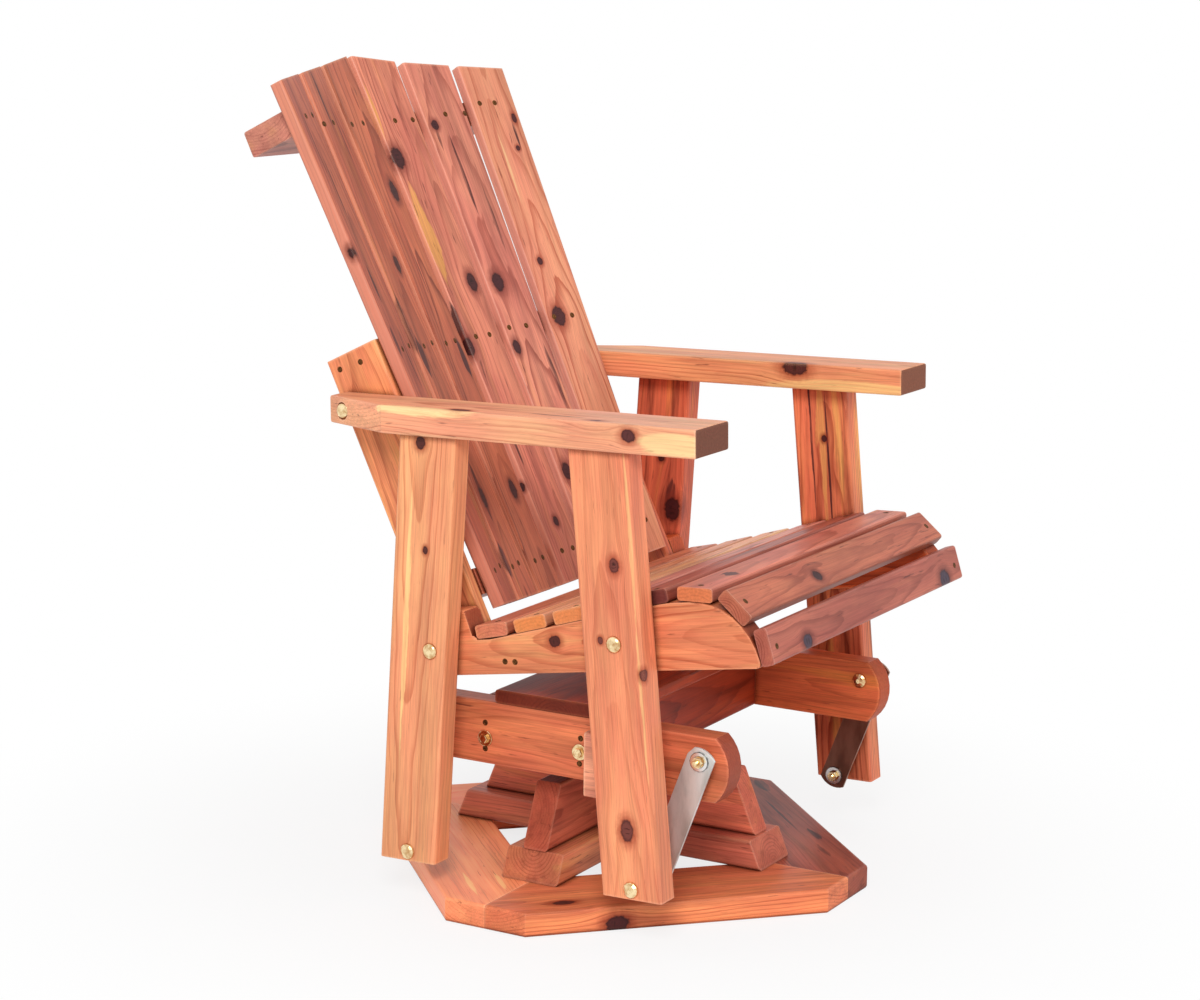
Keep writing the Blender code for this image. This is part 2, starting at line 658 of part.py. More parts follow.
# Arms
for side, sign in SIDES:
    arm_out = ARM_IN + STUD_W
    tail = arm_out - (ARM_REAR - ARM_TAPER) * tan(END_SLANT)
    plan = ((ARM_IN, ARM_FRONT), (arm_out, ARM_FRONT), (arm_out, ARM_TAPER), (tail, ARM_REAR), (ARM_IN, ARM_REAR))
    piece = sawn(f"arm_{side}", WOOD, [(sign * x, y) for x, y in plan], "xyz", ARM_Z, ARM_Z + STUD_T, seat)
    bolt_y = ARM_REAR - ARM_BOLT_BACK
    seat_x = arm_out - (bolt_y - ARM_TAPER) * tan(END_SLANT) - SPOT_DEPTH
    low, high = sorted((sign * seat_x, sign * (arm_out + OVERRUN)))
    drill(piece, f"arm_spot_{side}", ((bolt_y, ARM_Z + STUD_T / 2),), low, high, SPOT_R)

# Back: two uprights, three sawn rails and six slats fanned into a shallow curve
back = guide("back_frame", seat, tip=-LEAN)

def fan(turns, shares, gap, spine):
    """Rear-face corners of one wing's slats at one end: (inner, outer, turn) each."""
    heading = Vector((cos(turns[0]), -sin(turns[0])))
    corner = Vector((0.0, spine)) + heading * (MIDDLE_GAP / 2)
    slats = []
    for number, (turn, share) in enumerate(zip(turns, shares)):
        width = share * BACK_OUT
        heading = Vector((cos(turn), -sin(turn)))
        slats.append((corner, corner + heading * width, turn))
        if number + 1 < len(turns):
            between = (turn + turns[number + 1]) / 2
            corner = corner + heading * width + Vector((cos(between), -sin(between))) * gap
    return slats


LOW_FAN = fan(WING_LOW, SLATS_LOW_SHARES, SLAT_GAP_LOW, SPINE_LOW)
HIGH_FAN = fan(WING_HIGH, SLATS_HIGH_SHARES, SLAT_GAP_HIGH, SPINE_HIGH)


def slab(bm, number, sign, thick, ease, grow=0.0):
    """One slat of a wing, as a twisted, tapering board; grow makes it a cutter."""
    ends = []
    for (inner_edge, outer_edge, turn), level in ((LOW_FAN[number], SLAT_LOW), (HIGH_FAN[number], SLAT_HIGH)):
        width = (outer_edge - inner_edge).length + 2 * grow
        middle = (inner_edge + outer_edge) / 2
        along = Vector((cos(turn), -sin(turn)))
        front = Vector((-sin(turn), -cos(turn)))
        ring = []
        for a, b in section(width, thick, ease):
            point = middle + along * a + front * (b + thick / 2)
            if grow:
                point = middle + along * a + front * (b + thick / 2 - GAP)
            ring.append(Vector((sign * point.x, point.y, level)))
        ends.append(ring)
    rings = []
    for step in range(WING_STEPS + 1):
        ring = []
        for foot, head in zip(*ends):
            share = 1 - SLAT_SLOPE_SHARE * abs(head.x) / (SLAT_HIGH - SLAT_LOW)
            ring.append(foot.lerp(head, share * step / WING_STEPS))
        rings.append(ring)
    loft(bm, rings)


for side, sign in SIDES:
    piece = stick(f"back_upright_{side}", WOOD, "xyz", SLAT_T, STUD_W, UPRIGHT_LOW, UPRIGHT_HIGH, back,
                  at=(sign * (BACK_OUT - SLAT_T / 2), UPRIGHT_REAR - STUD_W / 2, 0.0))
    bm = bmesh.new()
    slab(bm, 2, sign, 2 * SLAT_T, SLACK, GAP)
    cut(piece, bm, f"upright_trim_{side}")
    for number in range(3):
        bm = bmesh.new()
        slab(bm, number, sign, SLAT_T, EASE)
        put(f"back_slat_{side}_{3 - number}", bm, WOOD, back)


def notched(name, low, rear, half):
    """A back rail: straight behind, sawn in front to meet the slats' rear faces."""
    share = (low + STUD_T / 2 - SLAT_LOW) / (SLAT_HIGH - SLAT_LOW)
    meets = []
    for foot, head in zip(LOW_FAN, HIGH_FAN):
        meets += [foot[0].lerp(head[0], share), foot[1].lerp(head[1], share)]
    way = meets[1] - meets[0]
    meets.insert(0, meets[0] - way * (meets[0].x / way.x))
    way = meets[-1] - meets[-2]
    meets.append(meets[-1] + way)
    edge = []
    for here, after in zip(meets, meets[1:]):
        if here.x < half:
            edge.append(here)
        if here.x < half <= after.x:
            edge.append(here.lerp(after, (half - here.x) / (after.x - here.x)))
    right = [(p.x, p.y) for p in reversed(edge)]
    left = [(-p.x, p.y) for p in edge[1:]]
    outline = [(-half, rear), (half, rear)] + right + left
    sawn(name, WOOD, outline, "xyz", low, low + STUD_T, back, square=tuple(range(1, len(outline))))


notched("back_rail_top", TOP_RAIL_LOW, TOP_RAIL_REAR, TOP_RAIL_HALF)
notched("back_rail_middle", MID_RAIL_LOW, UPRIGHT_REAR, BACK_OUT - SLAT_T)
notched("back_rail_bottom", LOW_RAIL_LOW, UPRIGHT_REAR, BACK_OUT - SLAT_T)
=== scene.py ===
"""Looks of the cedar swivel glider: wood, metal, small fasteners, floor, light and camera."""
from math import cos, pi, radians, sin

import bmesh
import bpy
from mathutils import Matrix, Vector


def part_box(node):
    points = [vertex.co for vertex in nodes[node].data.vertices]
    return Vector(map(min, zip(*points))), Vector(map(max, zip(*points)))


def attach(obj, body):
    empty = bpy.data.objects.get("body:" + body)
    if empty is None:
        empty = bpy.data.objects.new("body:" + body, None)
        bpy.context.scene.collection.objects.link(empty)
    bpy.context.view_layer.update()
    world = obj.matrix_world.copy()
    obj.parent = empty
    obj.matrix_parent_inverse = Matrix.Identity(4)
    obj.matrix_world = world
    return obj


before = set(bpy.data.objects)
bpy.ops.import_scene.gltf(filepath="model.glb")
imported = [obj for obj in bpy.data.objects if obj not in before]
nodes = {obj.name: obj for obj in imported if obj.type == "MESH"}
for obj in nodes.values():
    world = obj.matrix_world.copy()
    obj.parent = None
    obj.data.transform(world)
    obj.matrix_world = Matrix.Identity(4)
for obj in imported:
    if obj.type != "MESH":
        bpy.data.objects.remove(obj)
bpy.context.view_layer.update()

SIDES = {-1: "near", 1: "far"}

# Node trees, written as sums. A Mix node has its colour sockets at these places
MIX_SHARE = 0
MIX_FIRST = 6
MIX_SECOND = 7
MIX_RESULT = 2


class Net:
    """Adds nodes to a tree and gives back their output sockets."""

    def __init__(self, tree):
        self.tree = tree

    def fill(self, node, inputs):
        """Each input takes another node's output, or a plain value."""
        for key, value in inputs.items():
            if isinstance(value, bpy.types.NodeSocket):
                self.tree.links.new(value, node.inputs[key])
            else:
                node.inputs[key].default_value = value

    def node(self, kind, inputs, out=0, **settings):
        node = self.tree.nodes.new(kind)
        for key, value in settings.items():
            setattr(node, key, value)
        self.fill(node, inputs)
        return node.outputs[out]

    def use(self, tree, inputs):
        """All the outputs of a node group."""
        return self.node("ShaderNodeGroup", inputs, node_tree=tree).node.outputs

    def math(self, operation, *values):
        return self.node("ShaderNodeMath", dict(enumerate(values)), operation=operation)

    def vector(self, operation, *values, out=0):
        return self.node("ShaderNodeVectorMath", dict(enumerate(values)), out, operation=operation)

    def join(self, x, y, z):
        return self.node("ShaderNodeCombineXYZ", {0: x, 1: y, 2: z})

    def split(self, vector):
        return self.node("ShaderNodeSeparateXYZ", {0: vector}).node.outputs

    def noise(self, vector, scale, detail, rough=0.55, out=0):
        inputs = {"Vector": vector, "Scale": scale, "Detail": detail, "Roughness": rough}
        return self.node("ShaderNodeTexNoise", inputs, out)

    def stretched(self, vector, speeds, detail, rough=0.55, scale=1.0, out=0):
        """Noise that changes at a speed of its own along each axis."""
        return self.noise(self.vector("MULTIPLY", vector, speeds), scale, detail, rough, out)

    def fade(self, value, low, high, to_low=0.0, to_high=1.0):
        inputs = {"Value": value, "From Min": low, "From Max": high, "To Min": to_low, "To Max": to_high}
        return self.node("ShaderNodeMapRange", inputs, interpolation_type="SMOOTHSTEP")

    def mix(self, share, first, second, blend="MIX"):
        inputs = {MIX_SHARE: share, MIX_FIRST: first, MIX_SECOND: second}
        return self.node("ShaderNodeMix", inputs, MIX_RESULT, data_type="RGBA", blend_type=blend)

    def shaded(self, colour, shade):
        """A colour times one number."""
        return self.mix(1.0, colour, self.join(shade, shade, shade), "MULTIPLY")

    def here(self):
        """The point on the object, in metres."""
        return self.node("ShaderNodeTexCoord", {}, "Object")

    def seen(self):
        """1 for what the camera sees, also in gloss and through glass."""
        ray = self.tree.nodes.new("ShaderNodeLightPath").outputs
        direct = self.math("MAXIMUM", ray["Is Camera Ray"], ray["Is Glossy Ray"])
        return self.math("MAXIMUM", direct, ray["Is Transmission Ray"])


def group(name, inputs, outputs, build):
    """A node group; inputs and outputs are given as label and kind."""
    tree = bpy.data.node_groups.new(name, "ShaderNodeTree")
    for label, kind in inputs.items():
        tree.interface.new_socket(label, in_out="INPUT", socket_type="NodeSocket" + kind)
    for label, kind in outputs.items():
        tree.interface.new_socket(label, in_out="OUTPUT", socket_type="NodeSocket" + kind)
    source = tree.nodes.new("NodeGroupInput")
    sink = tree.nodes.new("NodeGroupOutput")
    net = Net(tree)
    net.fill(sink, build(net, {label: source.outputs[label] for label in inputs}))
    return tree


def new_material(name):
    """A fresh material, with its net and its shader."""
    material = bpy.data.materials.new(name)
    material.use_nodes = True
    return material, Net(material.node_tree), material.node_tree.nodes["Principled BSDF"]


def paint(obj, *materials):
    obj.data.materials.clear()
    for material in materials:
        obj.data.materials.append(material)


def middle_of(obj):
    low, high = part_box(obj.name)
    return (Vector(low) + Vector(high)) / 2


def srgb(red, green, blue):
    """A colour read off as 0-255 values, as the shader wants it."""
    parts = []
    for value in (red / 255, green / 255, blue / 255):
        parts.append(value / 12.92 if value <= 0.04045 else ((value + 0.055) / 1.055) ** 2.4)
    return (*parts, 1.0)


# Wood: x runs with the grain, y across the board's face, z through it, in metres
# How fast each pattern changes per metre, along, across and through the grain
SLOW_BEND = (3.0, 12.0, 12.0)
FINE_BEND = (14.0, 70.0, 70.0)
FIBRES = (9.0, 620.0, 620.0)
PORES = (60.0, 900.0, 900.0)
FLOW = (3.2, 46.0, 46.0)
CLOUDS = (6.0, 20.0, 20.0)
GLOW = (2.4, 30.0, 30.0)
DRIFT = (2.2, 24.0, 24.0)
FLECKS = (20.0, 190.0, 190.0)
PITS = (260.0, 260.0, 260.0)
CRACKS = (230.0, 230.0, 60.0)
RAGGED_STREAK = (1.0, 6.0, 6.0)
# Sizes in the wood
SLOW_BEND_REACH = (0.018, 0.018, 0.018)
FINE_BEND_REACH = (0.0022, 0.0022, 0.0022)
# How far the painted highlight on arrises and the painted shade in crevices reach
ARRIS_HIGHLIGHT_REACH = 0.004
CREVICE_SHADE_REACH = 0.012
GRAIN_RELIEF = 0.0007
STREAK_DEPTH = 0.016
# The middle of a noise's colour, a nearness that no knot reaches, and the wood's specular level
MIDDLE = (0.5, 0.5, 0.5)
NO_KNOT = 9.0
OILED_SHINE = 0.18


def build_knot(net, given):
    """The grain parts round a knot; Near keeps how close the closest knot is, 1 at its rim."""
    away = net.vector("SUBTRACT", given["Vector"], given["Centre"])
    wander = net.noise(given["Vector"], 150.0, 4.0, 0.62)
    scaled = net.vector("DIVIDE", away, given["Size"])
    distance = net.vector("LENGTH", scaled, out=1)
    ragged = net.math("ADD", distance, net.math("MULTIPLY", net.math("SUBTRACT", wander, 0.5), 0.75))
    pull = net.math("EXPONENT", net.math("MULTIPLY", net.math("POWER", distance, 2.0), -0.16))
    pull = net.math("MULTIPLY", pull, -0.72)
    shift = net.vector("MULTIPLY", away, net.join(0.0, pull, pull))
    warped = net.vector("ADD", given["Vector"], shift)
    return {"Vector": warped, "Near": net.math("MINIMUM", given["Near"], ragged)}


def build_streak(net, given):
    """A streak along the grain, with ragged sides and feathered ends, that stays near its own face."""
    away = net.vector("SUBTRACT", given["Vector"], given["Centre"])
    wander = net.math("SUBTRACT", net.stretched(given["Vector"], RAGGED_STREAK, 4.0, scale=22.0), 0.5)
    x, y, z = net.split(net.vector("DIVIDE", away, given["Size"]))
    along = net.math("POWER", net.math("ABSOLUTE", x), 2.0)
    across = net.math("ABSOLUTE", net.math("ADD", y, net.math("MULTIPLY", wander, 1.6)))
    inward = net.math("POWER", net.math("ABSOLUTE", z), 2.0)
    reach = net.math("ADD", net.math("ADD", along, across), net.math("MULTIPLY", wander, 0.9))
    reach = net.math("ADD", reach, inward)
    amount = net.fade(reach, 1.15, 0.65)
    return {"Amount": net.math("MAXIMUM", given["Amount"], amount)}


def late_wood(net, given, seeded):
    """Dark lines of the year rings, about a pith line that isn't quite parallel to the board."""
    wave = net.vector("SUBTRACT", net.stretched(seeded, SLOW_BEND, 2.0, out=1), MIDDLE)
    ripple = net.vector("SUBTRACT", net.stretched(seeded, FINE_BEND, 2.0, out=1), MIDDLE)
    off_pith = net.vector("SUBTRACT", given["Vector"], given["Pith"])
    bent = net.vector("MULTIPLY_ADD", wave, SLOW_BEND_REACH, off_pith)
    x, y, z = net.split(net.vector("MULTIPLY_ADD", ripple, FINE_BEND_REACH, bent))
    deep = net.math("ADD", z, net.math("MULTIPLY", x, given["Taper"]))
    radius = net.vector("LENGTH", net.join(0.0, y, deep), out=1)
    turns = net.math("DIVIDE", radius, given["Ring"])
    phase = net.math("FRACT", turns)
    late = net.math("MULTIPLY", net.fade(phase, 0.50, 0.95), net.fade(phase, 1.0, 0.95))
    year = net.noise(net.join(net.math("FLOOR", turns), 0.0, 0.0), 3.7, 0.0)
    return net.math("MULTIPLY", late, net.fade(year, 0.3, 0.7, 0.15, 1.0))


def plain_wood(net, given, seeded, late, fibre, flow):
    """Light and rosy wood with rings, heartwood, sapwood, fibres, pores and flecks."""
    pore = net.fade(net.stretched(seeded, PORES, 2.0), 0.60, 0.74)
    cloud = net.stretched(seeded, CLOUDS, 3.0, 0.6)
    glow = net.stretched(seeded, GLOW, 3.0, scale=1.3)
    heart = net.math("MULTIPLY", net.fade(flow, 0.46, 0.74), given["Heart"])
    drift = net.stretched(seeded, DRIFT, 3.0, 0.6)
    colour = net.mix(net.fade(cloud, 0.30, 0.70), given["Light"], given["Rose"])
    colour = net.mix(net.math("MULTIPLY", net.fade(glow, 0.52, 0.72), given["Sap"]), colour, given["Pale"])
    colour = net.mix(net.math("MULTIPLY", late, given["Contrast"]), colour, given["Dark"])
    colour = net.mix(heart, colour, given["Deep"])
    paler = net.math("MULTIPLY", net.math("ADD", late, fibre), 0.42)
    pale = net.mix(paler, given["Pale"], given["Light"])
    colour = net.mix(net.math("MULTIPLY", given["Streak"], 0.85), colour, pale)
    shade = net.math("SUBTRACT", net.fade(fibre, 0.26, 0.74, 0.83, 1.11), net.math("MULTIPLY", pore, 0.14))
    shade = net.math("MULTIPLY", shade, net.fade(drift, 0.30, 0.70, 0.80, 1.12))
    colour = net.shaded(colour, shade)
    fleck = net.math("MULTIPLY", net.fade(net.stretched(seeded, FLECKS, 3.0), 0.645, 0.74), given["Fleck"])
    return net.mix(fleck, colour, net.mix(0.6, given["Deep"], srgb(50, 20, 28)))


def sawn_faces(net, given, seeded, colour, late, fibre):
    """Side faces take a tint with painted light in it, and the ends drink more oil."""
    # Side tint: paler on back slats, own figure plus painted highlight; dark on seat slats, painted shade
    edge = net.math("ABSOLUTE", net.vector("DOT_PRODUCT", given["Facing"], given["Across"], out=1))
    edge = net.math("MULTIPLY", net.fade(edge, 0.50, 0.80), given["Edge"])
    colour = net.mix(edge, colour, net.mix(net.math("MULTIPLY", fibre, 0.6), given["Sawn"], given["Light"]))
    end = net.math("ABSOLUTE", net.vector("DOT_PRODUCT", given["Facing"], given["Grain"], out=1))
    end = net.fade(end, 0.55, 0.75)
    ring_tint = net.mix(0.5, given["End"], given["Deep"])
    ringed = net.mix(net.math("MULTIPLY", late, 0.7), given["End"], ring_tint)
    pits = net.fade(net.stretched(seeded, PITS, 4.0, 0.7), 0.32, 0.68, 0.84, 1.08)
    ringed = net.shaded(ringed, pits)
    return net.mix(net.math("MULTIPLY", end, given["Thirst"]), colour, ringed), end


def marks_and_knots(net, given, seeded, colour, flow):
    """Ragged lines of resin along the grain, then knots: an eye, a dark rim and a reddish halo."""
    ink = net.math("MULTIPLY", given["Mark"], net.fade(flow, 0.30, 0.52))
    colour = net.mix(net.math("MULTIPLY", ink, 0.9), colour, srgb(62, 30, 34))
    near = given["Near"]
    eye_ring = net.math("ABSOLUTE", net.math("SINE", net.math("MULTIPLY", near, 13.0)))
    crack = net.fade(net.stretched(seeded, CRACKS, 3.0), 0.50, 0.60)
    eye = net.mix(net.math("MULTIPLY", eye_ring, 0.2), given["Pupil"], given["Deep"])
    eye = net.mix(net.math("MULTIPLY", crack, net.fade(near, 0.85, 0.1)), eye, srgb(24, 12, 14))
    halo = net.math("MULTIPLY", net.fade(near, 2.5, 0.9), 0.8)
    colour = net.mix(halo, colour, net.mix(0.4, given["Dark"], given["Deep"]))
    rim = net.math("MULTIPLY", net.fade(near, 1.32, 1.02), net.fade(near, 0.70, 0.98))
    inside = net.fade(near, 1.14, 0.96)
    colour = net.mix(net.math("MULTIPLY", inside, 0.92), colour, eye)
    return net.mix(net.math("MULTIPLY", rim, 0.5), colour, srgb(48, 18, 16)), inside


def painted_edge_light_and_shade(net, given, colour, end):
    """Painted highlight on the arrises, the board's tone, then painted shade where boards meet."""
    # Painted highlight: arrises paler where their rounding would catch the light
    arris_highlight = net.node("ShaderNodeAmbientOcclusion", {"Distance": ARRIS_HIGHLIGHT_REACH}, out=1, samples=6, inside=True)
    arris_highlight = net.math("MULTIPLY", net.fade(arris_highlight, 0.90, 0.62), net.fade(end, 0.0, 1.0, 0.45, 0.12))
    colour = net.mix(arris_highlight, colour, net.mix(0.5, given["Light"], srgb(255, 206, 170)))
    colour = net.mix(1.0, colour, given["Tone"], "MULTIPLY")
    # Painted shade: darker and redder in crevices and where boards meet
    crevice_shade = net.node("ShaderNodeAmbientOcclusion", {"Distance": CREVICE_SHADE_REACH}, out=1, samples=6)
    crevice_shade = net.fade(crevice_shade, 0.40, 0.92, 0.42, 1.0)
    green, blue = net.math("POWER", crevice_shade, 1.25), net.math("POWER", crevice_shade, 1.4)
    return net.mix(1.0, colour, net.join(crevice_shade, green, blue), "MULTIPLY")


def build_cedar(net, given):
    seeded = net.vector("ADD", given["Vector"], given["Seed"])
    late = late_wood(net, given, seeded)
    fibre = net.stretched(seeded, FIBRES, 3.0, 0.65)
    flow = net.stretched(seeded, FLOW, 5.0, 0.62)
    colour = plain_wood(net, given, seeded, late, fibre, flow)
    colour, end = sawn_faces(net, given, seeded, colour, late, fibre)
    colour, inside = marks_and_knots(net, given, seeded, colour, flow)
    colour = painted_edge_light_and_shade(net, given, colour, end)
    rough = net.math("ADD", net.math("MULTIPLY", fibre, 0.18), net.math("MULTIPLY", end, 0.12))
    rough = net.math("ADD", rough, 0.32)
    relief = net.math("ADD", net.math("MULTIPLY", fibre, 0.5), net.math("MULTIPLY", late, 0.30))
    relief = net.math("SUBTRACT", relief, net.math("MULTIPLY", inside, 0.6))
    normal = net.node("ShaderNodeBump", {"Strength": 0.30, "Distance": GRAIN_RELIEF, "Height": relief})
    return {"Color": colour, "Roughness": rough, "Normal": normal}


KNOT = group("knot", {"Vector": "Vector", "Near": "Float", "Centre": "Vector", "Size": "Vector"},
             {"Vector": "Vector", "Near": "Float"}, build_knot)
STREAK = group("streak", {"Vector": "Vector", "Amount": "Float", "Centre": "Vector", "Size": "Vector"},
               {"Amount": "Float"}, build_streak)
VECTORS = dict.fromkeys(("Vector", "Seed", "Pith", "Facing", "Grain", "Across"), "Vector")
NUMBERS = dict.fromkeys(("Taper", "Ring", "Contrast", "Heart", "Streak", "Mark", "Near", "Sap", "Thirst",
                         "Edge", "Fleck"), "Float")
COLOURS = dict.fromkeys(("Sawn", "End", "Light", "Rose", "Dark", "Deep", "Pale", "Pupil", "Tone"), "Color")
CEDAR = group("cedar", VECTORS | NUMBERS | COLOURS,
              {"Color": "Color", "Roughness": "Float", "Normal": "Vector"}, build_cedar)

# Tints: light and rosy wood, late-year lines, dark heartwood, sapwood
SALMON = (srgb(246, 160, 112), srgb(236, 142, 104), srgb(184, 82, 50), srgb(136, 54, 38), srgb(255, 204, 136))
ORANGE = (srgb(244, 150, 94), srgb(228, 126, 84), srgb(160, 64, 36), srgb(104, 36, 24), srgb(252, 192, 104))
ROSE = (srgb(232, 148, 118), srgb(212, 124, 104), srgb(150, 70, 56), srgb(100, 46, 44), srgb(242, 180, 90))
RUSSET = (srgb(214, 122, 90), srgb(194, 102, 78), srgb(130, 56, 42), srgb(82, 34, 30), srgb(232, 164, 92))
BROWN = (srgb(178, 84, 50), srgb(156, 68, 42), srgb(100, 34, 20), srgb(60, 20, 14), srgb(222, 134, 62))

SAME_POINT = 1e-6
ARRIS_ANGLE = radians(12)
SEED_STEPS = (1.7, 0.61, 0.37)


def axes_of(obj):
    """Grain and face directions of a board, from its long arrises and its largest side."""
    bm = bmesh.new()
    bm.from_mesh(obj.data)
    bmesh.ops.remove_doubles(bm, verts=bm.verts, dist=SAME_POINT)
    ways = {}
    for edge in bm.edges:
        if len(edge.link_faces) == 2 and edge.calc_face_angle() > ARRIS_ANGLE:
            way = edge.verts[1].co - edge.verts[0].co
            if max(way, key=abs) < 0:
                way.negate()
            key = tuple(round(value, 1) for value in way.normalized())
            ways[key] = ways.get(key, Vector()) + way
    grain = max(ways.values(), key=lambda way: way.length).normalized()
    sides = {}
    for face in bm.faces:
        if abs(face.normal.dot(grain)) < 0.5:
            key = tuple(round(abs(value), 1) for value in face.normal)
            total, normal = sides.get(key, (0.0, face.normal.copy()))
            sides[key] = (total + face.calc_area(), normal)
    bm.free()
    face = max(sides.values(), key=lambda side: side[0])[1]
    across = face.cross(grain).normalized()
    return grain, across, grain.cross(across)


def board(name, tints, knots=(), streaks=(), marks=(), seed=0.0, contrast=0.6, heart=0.4, ring=0.0046,
          depth=0.06, taper=0.03, side=0.0, sap=0.15, thirst=0.9, edge=0.0, fleck=0.6, side_tint_and_painted_light=(250, 176, 150),
          pupil=(50, 24, 30), ends=(158, 74, 48), tone=(1.0, 1.0, 1.0)):
    """Cedar for one board. Knots, pale streaks and dark marks are (point, half length, half width)."""
    obj = nodes[name]
    grain, across, face = axes_of(obj)
    centre = middle_of(obj)
    turn = Matrix((grain, across, face))
    material, net, shader = new_material("cedar_" + name)
    coordinates = net.tree.nodes.new("ShaderNodeTexCoord").outputs
    spot = net.node("ShaderNodeMapping", {"Vector": coordinates["Object"], "Location": centre,
                                          "Rotation": turn.transposed().to_euler()}, vector_type="TEXTURE")
    amounts = []
    for places in (streaks, marks):
        amount = 0.0
        for point, half_length, half_width in places:
            local = turn @ (Vector(point) - centre)
            amount = net.use(STREAK, {"Vector": spot, "Amount": amount, "Centre": local,
                                      "Size": (half_length, half_width, STREAK_DEPTH)})["Amount"]
        amounts.append(amount)
    near = NO_KNOT
    for point, half_length, half_width in knots:
        local = turn @ (Vector(point) - centre)
        spot, near = net.use(KNOT, {"Vector": spot, "Near": near, "Centre": local,
                                    "Size": (half_length, half_width, half_width)})
    light, rosy, dark, deep, pale = tints
    cedar = net.use(CEDAR, {
        "Vector": spot, "Seed": tuple(seed * step for step in SEED_STEPS), "Pith": (0.0, side, -depth),
        "Taper": taper, "Ring": ring, "Contrast": contrast, "Heart": heart, "Streak": amounts[0],
        "Mark": amounts[1], "Near": near, "Sap": sap, "Thirst": thirst, "Edge": edge, "Fleck": fleck,
        "Facing": coordinates["Normal"], "Grain": grain, "Across": across, "Light": light, "Rose": rosy,
        "Dark": dark, "Deep": deep, "Pale": pale, "Sawn": srgb(*side_tint_and_painted_light), "End": srgb(*ends),
        "Pupil": srgb(*pupil), "Tone": (*tone, 1.0)})
    net.fill(shader, {"Base Color": cedar["Color"], "Roughness": cedar["Roughness"],
                      "Normal": cedar["Normal"], "Specular IOR Level": OILED_SHINE})
    paint(obj, material)


# Boards: knots, streaks and marks are where the photograph has them
# Back slats' sides: a paler tint, partly their own figure and partly painted highlight
BACK_SLAT = {"edge": 0.6, "thirst": 0.4}
# Seat slats' sides: a dark tint, painted shade of the gaps between the slats
SEAT_SLAT = {"edge": 0.6, "side_tint_and_painted_light": (120, 54, 38)}
RING_BOARD = {"thirst": 0.4}
board("leg_front_near", SALMON, seed=1, tone=(0.95, 0.9, 0.95), contrast=0.55, heart=0.15, ring=0.0058,
      depth=0.052, taper=0.035, side=0.004, fleck=0.3, pupil=(104, 58, 52),
      knots=(((-0.3444, -0.2512, 0.1673), 0.013, 0.0085), ((-0.3444, -0.2270, 0.5181), 0.009, 0.0065),
             ((-0.3425, -0.2728, 0.3787), 0.007, 0.006), ((-0.3444, -0.2081, 0.4170), 0.0045, 0.0035)),
      streaks=(((-0.335, -0.272, 0.33), 0.16, 0.004), ((-0.3444, -0.250, 0.56), 0.12, 0.003)))
board("leg_rear_near", SALMON, seed=2, tone=(0.95, 1.1, 1.1), contrast=0.55, heart=0.12, sap=0.1,
      ring=0.0058, depth=0.050, taper=-0.03, side=-0.010, fleck=0.3,
      knots=(((-0.3444, 0.0630, 0.5050), 0.005, 0.0035), ((-0.3444, 0.0700, 0.6500), 0.008, 0.007)),
      streaks=(((-0.3444, 0.095, 0.40), 0.20, 0.004),))
board("leg_front_far", ORANGE, seed=3, tone=(1, 0.9, 1.05), contrast=0.8, heart=0.9, sap=0.9,
      knots=(((0.3070, -0.2120, 0.5900), 0.005, 0.004),),
      streaks=(((0.3060, -0.207, 0.60), 0.13, 0.007), ((0.3060, -0.226, 0.66), 0.07, 0.004)),
      marks=(((0.3060, -0.190, 0.60), 0.14, 0.0022), ((0.3060, -0.221, 0.55), 0.12, 0.0018)))
board("leg_rear_far", RUSSET, seed=4, tone=(1.2, 0.95, 0.85), contrast=0.8, heart=1.0, sap=0.5,
      knots=(((0.3070, 0.0420, 0.4560), 0.016, 0.012), ((0.3070, 0.0620, 0.5350), 0.006, 0.005)),
      marks=(((0.3070, 0.0460, 0.4700), 0.035, 0.010),))
board("arm_near", SALMON, seed=5, tone=(1.05, 1.3, 1.5), heart=0.15, sap=0.3, depth=0.045, taper=0.02,
      thirst=1.0, ends=(110, 56, 36),
      knots=(((-0.3577, -0.2530, 0.6911), 0.009, 0.0075), ((-0.3464, 0.0066, 0.6999), 0.013, 0.006),
             ((-0.3450, -0.1980, 0.7000), 0.012, 0.005)),
      streaks=(((-0.3560, 0.0700, 0.7010), 0.110, 0.008), ((-0.3575, -0.3200, 0.6850), 0.060, 0.006)),
      marks=(((-0.3300, -0.1300, 0.7100), 0.050, 0.006),))
board("arm_far", SALMON, seed=6, tone=(1.05, 1.15, 1.1), heart=0.3, sap=0.4, thirst=1.0, ends=(126, 68, 46),
      knots=(((0.2689, -0.1798, 0.6985), 0.018, 0.011),),
      streaks=(((0.2689, -0.270, 0.670), 0.15, 0.008),))
board("seat_rail_near", SALMON, seed=7, tone=(0.9, 0.8, 0.75), contrast=0.65, heart=0.25, sap=0.5,
      depth=0.055, taper=0.045,
      knots=(((-0.3065, -0.1168, 0.3956), 0.008, 0.007),))
board("seat_rail_far", BROWN, seed=8, tone=(1.7, 1.5, 1.15), heart=0.5)
board("seat_brace", RUSSET, seed=9, heart=0.4)
board("glider_rail_near", ORANGE, seed=10, tone=(0.9, 0.8, 0.9), contrast=0.65, heart=0.25, taper=0.03)
board("glider_rail_far", RUSSET, seed=11, tone=(1.4, 1.15, 0.8), contrast=0.6, heart=0.35, sap=0.4)
board("stretcher_front", BROWN, seed=12, tone=(1, 0.6, 0.55), heart=0.5)
board("stretcher_rear", BROWN, seed=13, heart=0.4)
board("deck_board", BROWN, seed=14, tone=(1.2, 0.8, 0.6), contrast=0.6, heart=0.6, depth=0.03,
      ends=(92, 42, 32))
